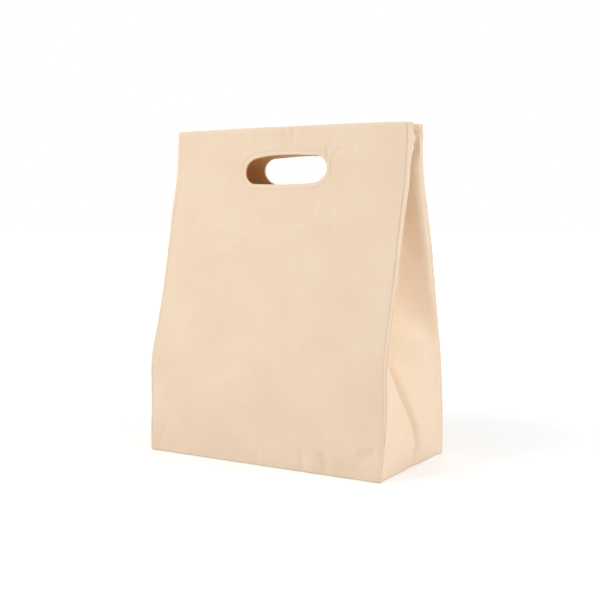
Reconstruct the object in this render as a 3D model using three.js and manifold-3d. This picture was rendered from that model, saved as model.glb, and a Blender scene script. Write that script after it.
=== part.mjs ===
// A carrier bag of heavy natural cotton canvas with a die-cut hand slot in each wall.
// Millimetres, +Z up. The origin is the centre of the base, on the surface the bag stands on.
// +X runs along the bag's width, and the front wall faces -Y.
import * as THREE from "three";
import { mergeVertices } from "three/addons/utils/BufferGeometryUtils.js";
import Module from "manifold-3d";

// Overall sizes
const BAG_WIDTH = 280; // across a wall, over both seam ridges
const BASE_DEPTH = 145; // front to back at the floor
const WALL_HEIGHT = 342; // floor to the top edge
const MOUTH_GAP = 30; // between the outer faces of the walls at the top edge
const CANVAS = 1.2; // thickness of one layer of cloth

// How the walls lean: a steep lower part, a slope, and a steep band at the top
const LOWER_HEIGHT = 92;
const LOWER_LEAN = 3.5;
const BAND_HEIGHT = 42;
const BAND_LEAN = 3.5;
const BEND_REACH = 32; // length of wall, each side of a bend, that the bend takes up
const BEND_STEPS = 6;

// Hand slot, and the facing behind it
const SLOT_LENGTH = 98;
const SLOT_HEIGHT = 28.5;
const SLOT_DROP = 44; // top edge to the middle of the slot
const SLOT_STEPS = 10; // points round each end
const FACING_DEPTH = 88;
const FACING_SIDE_MARGIN = 14;
const FACING_TOP_SETBACK = 0.6;

// Seams and thread
const SEAM_RIDGE = 5; // width of the pinched corner seam
const RIDGE_LAYERS = 2;
const THREAD = 0.7;
const EDGE_STITCH_INSET = 1.3; // inner side of the ridge to the stitch row
const EDGE_STITCH_SETBACK = 3; // ends of a stitch row to the ends of its ridge
const SLOT_STITCH_OFFSET = 4; // slot edge to the ring of stitches
const SEAM_ALLOWANCE = 8;

// Gusset, folded in on its centre crease
const FOLD_DEPTH = 70; // how far the crease lies inside the seam at the mouth
const FOLD_START = 38; // height below which the gusset is not folded
const FOLD_EASE = 1.1; // how gently the fold begins: 1 starts with a kink
const GUSSET_BULGE = 3; // how far the unfolded lower part swells out
const GUSSET_TOP_DROP = 4; // top edge of the wall to the top edge of the gusset
const GUSSET_ROWS = 16;
const GUSSET_COLUMNS = 6;

// Clearances
const SEAM_CLEARANCE = 0.3; // between two pieces that are sewn together
const CREASE_CLEARANCE = 0.4; // between the two leaves of a gusset
const THREAD_CLEARANCE = 0.1; // under a row of stitches
const FLOOR_CLEARANCE = 0.3; // under every piece but the base panel

const CUT_REACH = 60; // how far a cutter runs past the wall it cuts

// Places worked out from the sizes above
const seamX = BAG_WIDTH / 2 - SEAM_RIDGE;
const slotZ = WALL_HEIGHT - SLOT_DROP;
const gussetTop = WALL_HEIGHT - GUSSET_TOP_DROP;

const wasm = await Module();
wasm.setup();

// Colours and finish of the cloth and the thread
const canvasFinish = () => new THREE.MeshStandardMaterial({ color: 0xf0d9bf, roughness: 0.92, metalness: 0 });
const liningFinish = () => new THREE.MeshStandardMaterial({ color: 0xe6cba9, roughness: 0.92, metalness: 0 });
const threadFinish = () => new THREE.MeshStandardMaterial({ color: 0xe9d3b5, roughness: 0.75, metalness: 0 });

function named(name, geometry, material) {
  const mesh = new THREE.Mesh(geometry, material);
  mesh.name = name;
  return mesh;
}

// A closed geometry as a solid that can be cut, and back again
function solidFrom(geometry) {
  const bare = geometry.clone();
  bare.deleteAttribute("normal");
  bare.deleteAttribute("uv");
  const merged = mergeVertices(bare, 1e-4);
  return new wasm.Manifold(
    new wasm.Mesh({
      numProp: 3,
      vertProperties: merged.attributes.position.array,
      triVerts: new Uint32Array(merged.index.array),
    }),
  );
}

function geometryFrom(solid) {
  const mesh = solid.getMesh();
  const geometry = new THREE.BufferGeometry();
  geometry.setAttribute("position", new THREE.BufferAttribute(mesh.vertProperties, 3));
  geometry.setIndex(new THREE.BufferAttribute(mesh.triVerts, 1));
  geometry.computeVertexNormals();
  return geometry;
}

// The wall's outer face from the side, as half depth against height, with both bends rounded
const lowerBend = new THREE.Vector2(BASE_DEPTH / 2 - LOWER_LEAN, LOWER_HEIGHT);
const upperBend = new THREE.Vector2(MOUTH_GAP / 2 + BAND_LEAN, WALL_HEIGHT - BAND_HEIGHT);
const foot = new THREE.Vector2(BASE_DEPTH / 2, 0);
const brim = new THREE.Vector2(MOUTH_GAP / 2, WALL_HEIGHT);

function towards(from, to) {
  const step = to.clone().sub(from);
  return from.clone().add(step.setLength(BEND_REACH));
}

const wallPath = new THREE.Path();
wallPath.moveTo(foot.x, foot.y);
for (const [before, bend, after] of [[foot, lowerBend, upperBend], [lowerBend, upperBend, brim]]) {
  const entry = towards(bend, before);
  const leave = towards(bend, after);
  wallPath.lineTo(entry.x, entry.y);
  wallPath.quadraticCurveTo(bend.x, bend.y, leave.x, leave.y);
}
wallPath.lineTo(brim.x, brim.y);
const wallLine = wallPath.getPoints(BEND_STEPS);

function halfDepthAt(height) {
  const above = wallLine.findIndex((point) => point.y >= height);
  const high = wallLine[Math.max(above, 1)];
  const low = wallLine[Math.max(above, 1) - 1];
  return THREE.MathUtils.mapLinear(height, low.y, high.y, low.x, high.x);
}

// A layer of the front wall, between two depths behind its outer face, two heights and two widths
function wallLayer(outerDepth, innerDepth, lowZ, highZ, leftX, rightX) {
  const inside = wallLine.filter((point) => point.y > lowZ && point.y < highZ);
  const heights = [lowZ, ...inside.map((point) => point.y), highZ];
  const outer = heights.map((z) => new THREE.Vector2(outerDepth - halfDepthAt(z), z));
  const inner = heights.map((z) => new THREE.Vector2(innerDepth - halfDepthAt(z), z));
  const outline = new THREE.Shape([...inner, ...outer.reverse()]);
  const geometry = new THREE.ExtrudeGeometry(outline, { depth: rightX - leftX, bevelEnabled: false });
  const across = new THREE.Vector3(1, 0, 0);
  const back = new THREE.Vector3(0, 1, 0);
  const up = new THREE.Vector3(0, 0, 1);
  geometry.applyMatrix4(new THREE.Matrix4().makeBasis(back, up, across));
  geometry.translate(leftX, 0, 0);
  return geometry;
}

// The slot's outline grown by a margin, run through the front wall from front to back
function slotCutter(margin) {
  const radius = SLOT_HEIGHT / 2 + margin;
  const straight = (SLOT_LENGTH - SLOT_HEIGHT) / 2;
  const outline = new THREE.Shape();
  outline.absarc(straight, 0, radius, -Math.PI / 2, Math.PI / 2, false);
  outline.absarc(-straight, 0, radius, Math.PI / 2, (3 * Math.PI) / 2, false);
  const length = BASE_DEPTH / 2 + CUT_REACH;
  const geometry = new THREE.ExtrudeGeometry(outline, {
    depth: length,
    bevelEnabled: false,
    curveSegments: SLOT_STEPS,
  });
  geometry.rotateX(Math.PI / 2);
  geometry.translate(0, 0, slotZ);
  return solidFrom(geometry);
}

const slotHole = slotCutter(0);

// One wall: its panel, handle facing, seam ridges and rows of stitches
function wall(side, plusXSide, minusXSide) {
  const group = new THREE.Group();
  const lowZ = FLOOR_CLEARANCE;

  const panel = wallLayer(0, CANVAS, lowZ, WALL_HEIGHT, -seamX, seamX);
  const panelSolid = solidFrom(panel).subtract(slotHole);
  group.add(named(`${side}_panel`, geometryFrom(panelSolid), canvasFinish()));

  const facingFront = CANVAS + SEAM_CLEARANCE;
  const facingX = seamX - FACING_SIDE_MARGIN;
  const facingTop = WALL_HEIGHT - FACING_TOP_SETBACK;
  const facingLow = WALL_HEIGHT - FACING_DEPTH;
  const facing = wallLayer(facingFront, facingFront + CANVAS, facingLow, facingTop, -facingX, facingX);
  const facingSolid = solidFrom(facing).subtract(slotHole);
  group.add(named(`${side}_handle_facing`, geometryFrom(facingSolid), liningFinish()));

  const threadLayer = (low, high, left, right) =>
    wallLayer(-THREAD_CLEARANCE - THREAD, -THREAD_CLEARANCE, low, high, left, right);

  const ringOuter = slotCutter(SLOT_STITCH_OFFSET + THREAD);
  const ring = ringOuter.subtract(slotCutter(SLOT_STITCH_OFFSET));
  const ringReach = SLOT_HEIGHT / 2 + SLOT_STITCH_OFFSET + 2 * THREAD;
  const ringLayer = threadLayer(slotZ - ringReach, slotZ + ringReach, -seamX, seamX);
  const ringSolid = solidFrom(ringLayer).intersect(ring);
  group.add(named(`${side}_slot_stitching`, geometryFrom(ringSolid), threadFinish()));

  const ridgeInner = seamX + SEAM_CLEARANCE;
  const ridgeOuter = BAG_WIDTH / 2;
  const ridgeThick = RIDGE_LAYERS * CANVAS;
  const stitchInner = ridgeInner + EDGE_STITCH_INSET;
  for (const [corner, sign] of [[plusXSide, 1], [minusXSide, -1]]) {
    const [left, right] = [sign * ridgeInner, sign * ridgeOuter].sort((a, b) => a - b);
    const ridge = wallLayer(0, ridgeThick, lowZ, WALL_HEIGHT, left, right);
    group.add(named(`${side}_${corner}_seam_ridge`, ridge, canvasFinish()));

    const [near, far] = [sign * stitchInner, sign * (stitchInner + THREAD)].sort((a, b) => a - b);
    const row = threadLayer(lowZ + EDGE_STITCH_SETBACK, WALL_HEIGHT - EDGE_STITCH_SETBACK, near, far);
    group.add(named(`${side}_${corner}_edge_stitching`, row, threadFinish()));
  }
  return group;
}

// How far the crease lies inside the seam at a height: a slight swell below, then the fold
function creaseDepthAt(height) {
  const swell = -GUSSET_BULGE * Math.sin((Math.PI * height) / FOLD_START);
  const rise = (height - FOLD_START) / (gussetTop - FOLD_START);
  return height < FOLD_START ? swell : FOLD_DEPTH * Math.sin((Math.PI / 2) * rise) ** FOLD_EASE;
}

// The front leaf of the right gusset: a curved sheet from the corner seam to the centre crease
function gussetLeaf() {
  const outside = [];
  const inside = [];
  for (let row = 0; row <= GUSSET_ROWS; row++) {
    const z = THREE.MathUtils.lerp(FLOOR_CLEARANCE, gussetTop, row / GUSSET_ROWS);
    const crease = new THREE.Vector2(seamX - creaseDepthAt(z), -CREASE_CLEARANCE / 2);
    const wallInside = CANVAS + SEAM_CLEARANCE - halfDepthAt(z);
    const run = crease.clone().sub(new THREE.Vector2(seamX, wallInside)).normalize();
    const seam = new THREE.Vector2(seamX, wallInside + CANVAS * Math.abs(run.x));
    const across = crease.clone().sub(seam).normalize();
    const inwards = new THREE.Vector2(-across.y, across.x).multiplyScalar(CANVAS);
    if (inwards.x > 0) inwards.negate();
    for (let column = 0; column <= GUSSET_COLUMNS; column++) {
      const point = seam.clone().lerp(crease, column / GUSSET_COLUMNS);
      outside.push(point.x, point.y, z);
      inside.push(point.x + inwards.x, point.y + inwards.y, z);
    }
  }
  return closedSheet(outside, inside, GUSSET_ROWS, GUSSET_COLUMNS);
}

// Two grids of points, one for each face of a sheet, closed round their rim
function closedSheet(outside, inside, rows, columns) {
  const perFace = (rows + 1) * (columns + 1);
  const at = (row, column) => row * (columns + 1) + column;
  const triangles = [];
  const quad = (a, b, c, d) => triangles.push(a, b, c, a, c, d);
  for (let row = 0; row < rows; row++) {
    for (let column = 0; column < columns; column++) {
      const [a, b] = [at(row, column), at(row, column + 1)];
      const [c, d] = [at(row + 1, column + 1), at(row + 1, column)];
      quad(a, b, c, d);
      quad(perFace + a, perFace + d, perFace + c, perFace + b);
    }
  }
  const rim = [];
  for (let column = 0; column < columns; column++) rim.push(at(0, column));
  for (let row = 0; row < rows; row++) rim.push(at(row, columns));
  for (let column = columns; column > 0; column--) rim.push(at(rows, column));
  for (let row = rows; row > 0; row--) rim.push(at(row, 0));
  rim.forEach((here, index) => {
    const next = rim[(index + 1) % rim.length];
    quad(here, perFace + here, perFace + next, next);
  });
  const geometry = new THREE.BufferGeometry();
  geometry.setAttribute("position", new THREE.Float32BufferAttribute([...outside, ...inside], 3));
  geometry.setIndex(triangles);
  geometry.computeVertexNormals();
  return geometry;
}

// One gusset: its front leaf, and its back leaf as the mirror image
function gusset(side, minusYLeaf, plusYLeaf) {
  const group = new THREE.Group();
  const leaf = gussetLeaf();
  group.add(named(`${side}_gusset_${minusYLeaf}`, leaf, canvasFinish()));
  const mirrored = named(`${side}_gusset_${plusYLeaf}`, leaf, canvasFinish());
  mirrored.scale.y = -1;
  group.add(mirrored);
  return group;
}

// The base panel, and the seam allowances of the four sides turned in on top of it
function base() {
  const group = new THREE.Group();
  const insetX = seamX - CANVAS - SEAM_CLEARANCE;
  const insetY = BASE_DEPTH / 2 - CANVAS - SEAM_CLEARANCE - LOWER_LEAN * (CANVAS / LOWER_HEIGHT);
  const panel = new THREE.BoxGeometry(2 * insetX, 2 * insetY, CANVAS);
  const panelMesh = named("base_panel", panel, canvasFinish());
  panelMesh.position.z = CANVAS / 2;
  group.add(panelMesh);

  const flapZ = CANVAS + SEAM_CLEARANCE + CANVAS / 2;
  const flapY = insetY - SEAM_CLEARANCE;
  const flapX = insetX - SEAM_CLEARANCE;
  const endLength = 2 * (flapY - SEAM_ALLOWANCE - SEAM_CLEARANCE);
  const flaps = [
    ["front", 2 * flapX, SEAM_ALLOWANCE, 0, SEAM_ALLOWANCE / 2 - flapY],
    ["back", 2 * flapX, SEAM_ALLOWANCE, 0, flapY - SEAM_ALLOWANCE / 2],
    ["left", SEAM_ALLOWANCE, endLength, SEAM_ALLOWANCE / 2 - flapX, 0],
    ["right", SEAM_ALLOWANCE, endLength, flapX - SEAM_ALLOWANCE / 2, 0],
  ];
  for (const [side, length, width, x, y] of flaps) {
    const flap = named(`base_seam_allowance_${side}`, new THREE.BoxGeometry(length, width, CANVAS), liningFinish());
    flap.position.set(x, y, flapZ);
    group.add(flap);
  }
  return group;
}

const bag = new THREE.Group();
bag.name = "carrier_bag";
bag.add(base());
bag.add(wall("front", "right", "left"));
const backWall = wall("back", "left", "right");
backWall.rotation.z = Math.PI;
bag.add(backWall);
bag.add(gusset("right", "front", "back"));
const leftGusset = gusset("left", "back", "front");
leftGusset.rotation.z = Math.PI;
bag.add(leftGusset);

export default bag;
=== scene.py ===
import math

import bpy
import numpy as np
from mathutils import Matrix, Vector


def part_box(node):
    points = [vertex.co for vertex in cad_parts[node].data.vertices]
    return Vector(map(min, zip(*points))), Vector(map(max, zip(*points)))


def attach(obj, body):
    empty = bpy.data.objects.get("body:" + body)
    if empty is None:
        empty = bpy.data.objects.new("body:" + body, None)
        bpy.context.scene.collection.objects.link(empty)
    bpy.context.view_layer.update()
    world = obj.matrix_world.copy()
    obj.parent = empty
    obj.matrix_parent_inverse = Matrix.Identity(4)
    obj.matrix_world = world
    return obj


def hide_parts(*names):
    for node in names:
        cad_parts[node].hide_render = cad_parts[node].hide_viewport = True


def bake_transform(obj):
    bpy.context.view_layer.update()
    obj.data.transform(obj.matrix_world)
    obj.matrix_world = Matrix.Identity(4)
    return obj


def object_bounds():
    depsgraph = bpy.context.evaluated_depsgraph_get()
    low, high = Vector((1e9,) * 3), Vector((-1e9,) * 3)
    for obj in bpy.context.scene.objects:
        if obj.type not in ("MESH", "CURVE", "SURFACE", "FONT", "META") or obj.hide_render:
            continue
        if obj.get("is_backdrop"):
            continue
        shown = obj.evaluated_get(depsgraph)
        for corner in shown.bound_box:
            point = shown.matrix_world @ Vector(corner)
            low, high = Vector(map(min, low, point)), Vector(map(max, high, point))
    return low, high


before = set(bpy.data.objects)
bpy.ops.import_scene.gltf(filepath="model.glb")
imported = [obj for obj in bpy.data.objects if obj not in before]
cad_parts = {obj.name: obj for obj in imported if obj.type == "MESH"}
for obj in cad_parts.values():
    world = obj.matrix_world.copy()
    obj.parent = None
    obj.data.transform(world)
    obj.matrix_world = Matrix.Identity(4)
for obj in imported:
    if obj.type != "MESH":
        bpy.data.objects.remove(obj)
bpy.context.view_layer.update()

# Base panel
# A flat rectangle of heavy natural cotton canvas that the bag stands on. Its four edges are sewn
# to the lower edges of the walls and gussets, with the seams turned to the inside of the bag.
MM = 0.001


def mm(*lengths):
    """Lengths written in millimetres, as an array in metres."""
    return np.array(lengths) * MM


base_low, base_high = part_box("base_panel")
CANVAS = base_high.z - base_low.z
BASE_STEP = 3 * MM
BASE_LIFT = 0.7 * MM
BASE_LIFT_LIMIT = 1.2
BASE_BORDER = 25 * MM
BASE_SEED = 5
BASE_WAVES = mm(120, 60, 30)
BASE_WAVE_SHARES = (0.9, 0.5, 0.3)
WAVE_TRAINS = 3
CLOTH_UV = "cloth"
EDGE_ROUNDING = (45, 90, 135)
LEAST_LENGTH = 1e-12


def to_linear(hex_colour):
    """A colour written as sRGB hex, as the linear values that a shader takes."""
    parts = [int(hex_colour[place:place + 2], 16) / 255 for place in (1, 3, 5)]
    return (*[p / 12.92 if p <= 0.04045 else ((p + 0.055) / 1.055) ** 2.4 for p in parts], 1)


def bare_tree(owner):
    """The node tree of a material or of the world, with nothing in it yet."""
    owner.use_nodes = True
    owner.node_tree.nodes.clear()
    return owner.node_tree


def add_node(tree, kind, sockets, **options):
    """Adds a node, sets its options, and fills each socket with a value or a link."""
    node = tree.nodes.new(kind)
    for option, value in options.items():
        setattr(node, option, value)
    for socket, value in sockets.items():
        if isinstance(value, bpy.types.NodeSocket):
            tree.links.new(value, node.inputs[socket])
        else:
            node.inputs[socket].default_value = value
    return node


# Unbleached cotton canvas in a plain weave. It is matt and slightly hairy, so it shows no gloss but
# a faint sheen at a glancing view, fine crossing yarns, streaks where a yarn runs thick or pale, and
# soft patches where the raw cotton is darker. The hollows between the crossing yarns get painted
# shade. Real yarns lie about 0.75 mm apart. They are drawn a third wider, so that a picture still
# holds them.
YARN_PITCH = 1.0 * MM
YARN_RELIEF = 0.10 * MM
YARN_WAVER = 0.9 * YARN_PITCH
WAVER_LENGTH = 12 * MM
SLUB_YARNS = 3
SLUB_LENGTH = 45 * MM
SLUB_RELIEF = 0.7
SLUB_SHARE = 0.40
HOLLOW_SHADE_SHARE = 0.18
MOTTLE_SIZE = 55 * MM
MOTTLE_SHARE = 0.20


def woven_canvas(name, ground, thick_yarn, hollow, rubbed):
    """Plain-woven cotton in four tones: its ground, thick yarns, the hollows between (painted shade, also
    used for darker raw cotton), rubbed edges.
    """
    material = bpy.data.materials.new(name)
    tree = bare_tree(material)
    cloth = add_node(tree, "ShaderNodeUVMap", {}, uv_map=CLOTH_UV).outputs[0]
    waver = add_node(
        tree, "ShaderNodeTexNoise", {"Vector": cloth, "Scale": 1 / WAVER_LENGTH, "Detail": 2.0}
    )
    waver_shift = add_node(
        tree, "ShaderNodeVectorMath", {0: waver.outputs["Color"], "Scale": YARN_WAVER}, operation="SCALE"
    )
    yarns = add_node(tree, "ShaderNodeVectorMath", {0: cloth, 1: waver_shift.outputs[0]}, operation="ADD")
    beat = add_node(
        tree, "ShaderNodeVectorMath",
        {0: yarns.outputs[0], "Scale": math.pi / YARN_PITCH}, operation="SCALE",
    )
    crossing = add_node(tree, "ShaderNodeVectorMath", {0: beat.outputs[0]}, operation="SINE")
    way = add_node(tree, "ShaderNodeSeparateXYZ", {0: crossing.outputs[0]})
    weave = add_node(tree, "ShaderNodeMath", {0: way.outputs[0], 1: way.outputs[1]}, operation="MULTIPLY")

    slubs = []
    slub_width = SLUB_YARNS * YARN_PITCH
    for stretch in ((1 / slub_width, 1 / SLUB_LENGTH, 1), (1 / SLUB_LENGTH, 1 / slub_width, 1)):
        run = add_node(tree, "ShaderNodeVectorMath", {0: cloth, 1: stretch}, operation="MULTIPLY")
        slubs.append(add_node(
            tree, "ShaderNodeTexNoise", {"Vector": run.outputs[0], "Scale": 1.0, "Detail": 3.0}
        ))
    slub = add_node(
        tree, "ShaderNodeMath", {0: slubs[0].outputs["Fac"], 1: slubs[1].outputs["Fac"]}, operation="ADD"
    )
    mottle = add_node(
        tree, "ShaderNodeTexNoise", {"Vector": cloth, "Scale": 1 / MOTTLE_SIZE, "Detail": 2.0}
    )
    wear = add_node(tree, "ShaderNodeAttribute", {}, attribute_name="rub")

    # Each tone comes in as its signal runs from one level to another, up to a share.
    tone = to_linear(ground)
    for colour, signal, start, full, share in (
        (thick_yarn, slub.outputs[0], 0.75, 1.35, SLUB_SHARE),
        # The hollow tone is painted shade where it follows the weave, and darker raw cotton where it follows
        # the mottle.
        (hollow, weave.outputs[0], 0.2, -1.0, HOLLOW_SHADE_SHARE),
        (hollow, mottle.outputs["Fac"], 0.40, 0.68, MOTTLE_SHARE),
        (rubbed, wear.outputs["Fac"], 0.0, 1.0, 1.0),
    ):
        amount = add_node(
            tree, "ShaderNodeMapRange",
            {"Value": signal, "From Min": start, "From Max": full, "To Max": share},
        )
        mix = add_node(
            tree, "ShaderNodeMixRGB",
            {"Fac": amount.outputs[0], "Color1": tone, "Color2": to_linear(colour)},
        )
        tone = mix.outputs[0]

    height = add_node(
        tree, "ShaderNodeMath",
        {0: slub.outputs[0], 1: SLUB_RELIEF, 2: weave.outputs[0]}, operation="MULTIPLY_ADD",
    )
    relief = add_node(
        tree, "ShaderNodeBump", {"Strength": 0.4, "Distance": YARN_RELIEF, "Height": height.outputs[0]}
    )
    surface = add_node(
        tree, "ShaderNodeBsdfPrincipled",
        {
            "Base Color": tone, "Normal": relief.outputs[0], "Roughness": 0.92,
            "Specular IOR Level": 0.25, "Sheen Weight": 0.12, "Sheen Roughness": 0.5,
        },
    )
    add_node(tree, "ShaderNodeOutputMaterial", {"Surface": surface.outputs[0]})
    return material


canvas = woven_canvas("natural_cotton_canvas_plain_weave", "#EFD8BE", "#F4E2CA", "#E2C0A1", "#F6E6D0")


def grid_quads(rows, columns):
    """The quads of a grid of points that is written row by row."""
    corner = (np.arange(rows - 1)[:, None] * columns + np.arange(columns - 1)).ravel()
    return np.stack([corner, corner + 1, corner + columns + 1, corner + columns], 1)


def unit(ways):
    """The same directions with a length of 1, and 0 where there is none."""
    return ways / np.maximum(np.linalg.norm(ways, axis=-1, keepdims=True), LEAST_LENGTH)


def mesh_piece(name, points, faces, flat_uv, finish, rub=None):
    """A smooth mesh object with the cloth's own flat coordinates on it, in metres."""
    mesh = bpy.data.meshes.new(name)
    mesh.from_pydata(points.tolist(), [], [list(map(int, face)) for face in faces])
    order = np.zeros(len(mesh.loops), np.int32)
    mesh.loops.foreach_get("vertex_index", order)
    layer = mesh.uv_layers.new(name=CLOTH_UV)
    layer.uv.foreach_set("vector", flat_uv[order].astype(np.float32).ravel())
    worn = mesh.attributes.new("rub", "FLOAT", "POINT")
    worn.data.foreach_set("value", (np.zeros(len(points)) if rub is None else rub).astype(np.float32))
    mesh.polygons.foreach_set("use_smooth", np.ones(len(mesh.polygons), bool))
    mesh.validate()
    piece = bpy.data.objects.new(name, mesh)
    bpy.context.scene.collection.objects.link(piece)
    mesh.materials.append(finish)
    return piece


def cloth_piece(name, points, quads, flat_uv, finish, square=None, rub=None):
    """A closed layer of canvas behind the points of its outer face, with its edges rolled over.

    square marks the points whose edge is left flat, where another piece of cloth goes on from it.
    """
    quads = np.asarray(quads)
    corners = [points[quads[:, k]] for k in range(4)]
    across = np.cross(corners[2] - corners[0], corners[3] - corners[1])
    normals = np.zeros_like(points)
    for k in range(4):
        np.add.at(normals, quads[:, k], across)
    normals = unit(normals)

    edges = np.concatenate([quads[:, [k, (k + 1) % 4]] for k in range(4)])
    _, first, uses = np.unique(np.sort(edges, 1), axis=0, return_index=True, return_counts=True)
    rim = edges[first[uses == 1]]
    outward = np.zeros_like(points)
    away = unit(np.cross(points[rim[:, 1]] - points[rim[:, 0]], normals[rim[:, 0]]))
    for k in range(2):
        np.add.at(outward, rim[:, k], away)
    outward = unit(outward)
    if square is not None:
        outward[square] = 0

    count = len(points)
    edge_points = np.unique(rim)
    place = np.zeros(count, int)
    place[edge_points] = np.arange(len(edge_points))
    layers = [points, points - CANVAS * normals]
    owners = [np.arange(count), np.arange(count)]
    middle = points[edge_points] - CANVAS / 2 * normals[edge_points]
    for turn in np.radians(EDGE_ROUNDING):
        roll = math.cos(turn) * normals[edge_points] + math.sin(turn) * outward[edge_points]
        layers.append(middle + CANVAS / 2 * roll)
        owners.append(edge_points)
    faces = [quads, quads[:, ::-1] + count]
    steps = [np.arange(count)]
    for k in range(len(EDGE_ROUNDING)):
        steps.append(2 * count + k * len(edge_points) + place)
    steps.append(np.arange(count) + count)
    start, end = rim.T
    for upper, lower in zip(steps, steps[1:]):
        faces.append(np.stack([upper[end], upper[start], lower[start], lower[end]], 1))
    owner = np.concatenate(owners)
    rubbed = np.zeros(count) if rub is None else rub
    return mesh_piece(
        name, np.concatenate(layers), np.concatenate(faces), flat_uv[owner], finish, rubbed[owner]
    )


def slack_waves(seed, x, z, lengths, heights):
    """Soft uneven waves over a cloth: for each length, a few trains of waves in seeded directions."""
    draw = np.random.default_rng(seed)
    waves = np.zeros(np.broadcast(x, z).shape)
    for length, height in zip(lengths, heights):
        for _ in range(WAVE_TRAINS):
            turn, phase = draw.uniform(0, 2 * math.pi, 2)
            along = x * math.cos(turn) + z * math.sin(turn)
            waves += height / WAVE_TRAINS * np.sin(2 * math.pi * along / length + phase)
    return waves


def ease(value):
    """0 below 0, 1 above 1, and a smooth step between."""
    held = np.clip(value, 0, 1)
    return held * held * (3 - 2 * held)


base_columns = round((base_high.x - base_low.x) / BASE_STEP)
base_rows = round((base_high.y - base_low.y) / BASE_STEP)
base_half_x, base_half_y = base_high.x - CANVAS / 2, base_high.y - CANVAS / 2
base_x, base_y = np.meshgrid(
    np.linspace(-base_half_x, base_half_x, base_columns), np.linspace(-base_half_y, base_half_y, base_rows)
)
inside_edge = np.minimum(base_high.x - np.abs(base_x), base_high.y - np.abs(base_y))
lift = 0.5 + 0.5 * slack_waves(BASE_SEED, base_x, base_y, BASE_WAVES, BASE_WAVE_SHARES)
base_z = base_low.z + BASE_LIFT * np.clip(lift, 0, BASE_LIFT_LIMIT) * ease(inside_edge / BASE_BORDER)
base_panel = cloth_piece(
    "base_cloth",
    np.stack([base_x, base_y, base_z], -1).reshape(-1, 3),
    grid_quads(base_rows, base_columns)[:, ::-1],
    np.stack([base_x, base_y], -1).reshape(-1, 2),
    canvas,
)
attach(base_panel, "base")
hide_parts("base_panel")

# Seam allowances on the base
# The raw edges of the walls and gussets, turned in over the base panel inside the bag and sewn down
# flat there. They show the inner side of the same canvas.
FLAP_STEP = 2 * MM
FLAP_LEAST_STEPS = 5
FLAP_INSET = 1.2 * MM
FLAP_RIPPLE = 0.12 * MM
FLAP_WAVES = mm(24, 11)
FLAP_SEEDS = {"front": 5, "back": 4, "left": 4, "right": 5}

# The inner side of the canvas is a warmer, browner and darker copy of the outer canvas: painted
# shade, which gives the inside of the bag and of the hand slot a deeper tone than the outside.
shaded_inner_canvas = woven_canvas("cotton_canvas_inner_side_painted_shade", "#F7C189", "#F8CFA0", "#E2A267", "#F6CEA0")

for side, seed in FLAP_SEEDS.items():
    node = f"base_seam_allowance_{side}"
    low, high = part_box(node)
    low, high = low + Vector((FLAP_INSET, 0, 0)), high - Vector((FLAP_INSET, 0, 0))
    columns = max(FLAP_LEAST_STEPS, round((high.x - low.x) / FLAP_STEP))
    rows = max(FLAP_LEAST_STEPS, round((high.y - low.y) / FLAP_STEP))
    flap_x, flap_y = np.meshgrid(np.linspace(low.x, high.x, columns), np.linspace(low.y, high.y, rows))
    ripple = slack_waves(seed, flap_x, flap_y, FLAP_WAVES, (FLAP_RIPPLE, FLAP_RIPPLE))
    flap = cloth_piece(
        f"{side}_seam_allowance_cloth",
        np.stack([flap_x, flap_y, high.z + ripple], -1).reshape(-1, 3),
        grid_quads(rows, columns),
        np.stack([flap_x, flap_y], -1).reshape(-1, 2),
        # the inner side, in the copy of the canvas with painted shade
        shaded_inner_canvas,
    )
    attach(flap, "base")
    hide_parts(node)

# Front and back panels
# Each wall is one length of canvas that stands steep at the foot, slopes in and stands steep again
# in the handle band. The hand slot is cut through it, turned in round its edge and stitched down.
panel_low, panel_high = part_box("front_panel")
SEAM_X = panel_high.x
BRIM = panel_high.z
FOOT = panel_low.z + CANVAS / 2
WALL_STEP = 2.2 * MM
WALL_BORDER = 3 * MM
BORDER_STEPS = mm(0, 0.5, 1.1, 2.0)

# The hand slot, and the rings of mesh round it: close ones on its lip, wider ones on its collar.
SLOT_LENGTH = 98 * MM
SLOT_HEIGHT = 28.5 * MM
SLOT_DROP = 44 * MM
SLOT_Z = BRIM - SLOT_DROP
SLOT_STRAIGHT = (SLOT_LENGTH - SLOT_HEIGHT) / 2
SLOT_STITCH = 4.35 * MM
COLLAR_WIDTH = 66 * MM
COLLAR_HEIGHT = 29 * MM
COLLAR_RINGS = 7
LIP_RINGS = mm(0, 0.5, 1.1, 1.8, 2.6, 3.3, 3.8, 4.35, 4.9, 5.5, 6.4, 7.6, 9.2)

# The turned edge of the slot: a puffed roll, a groove under the stitches, and the swell after it.
# Each has its distance from the edge, its spread and its height.
LIP_SWELLS = (
    (2.0 * MM, 1.5 * MM, 0.12 * MM),
    (SLOT_STITCH, 0.75 * MM, -0.08 * MM),
    (7.0 * MM, 2.2 * MM, 0.08 * MM),
)
SLOT_RUB = 0.15
BRIM_RUB = 0.3
RUB_REACH = 2.5 * MM

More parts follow.
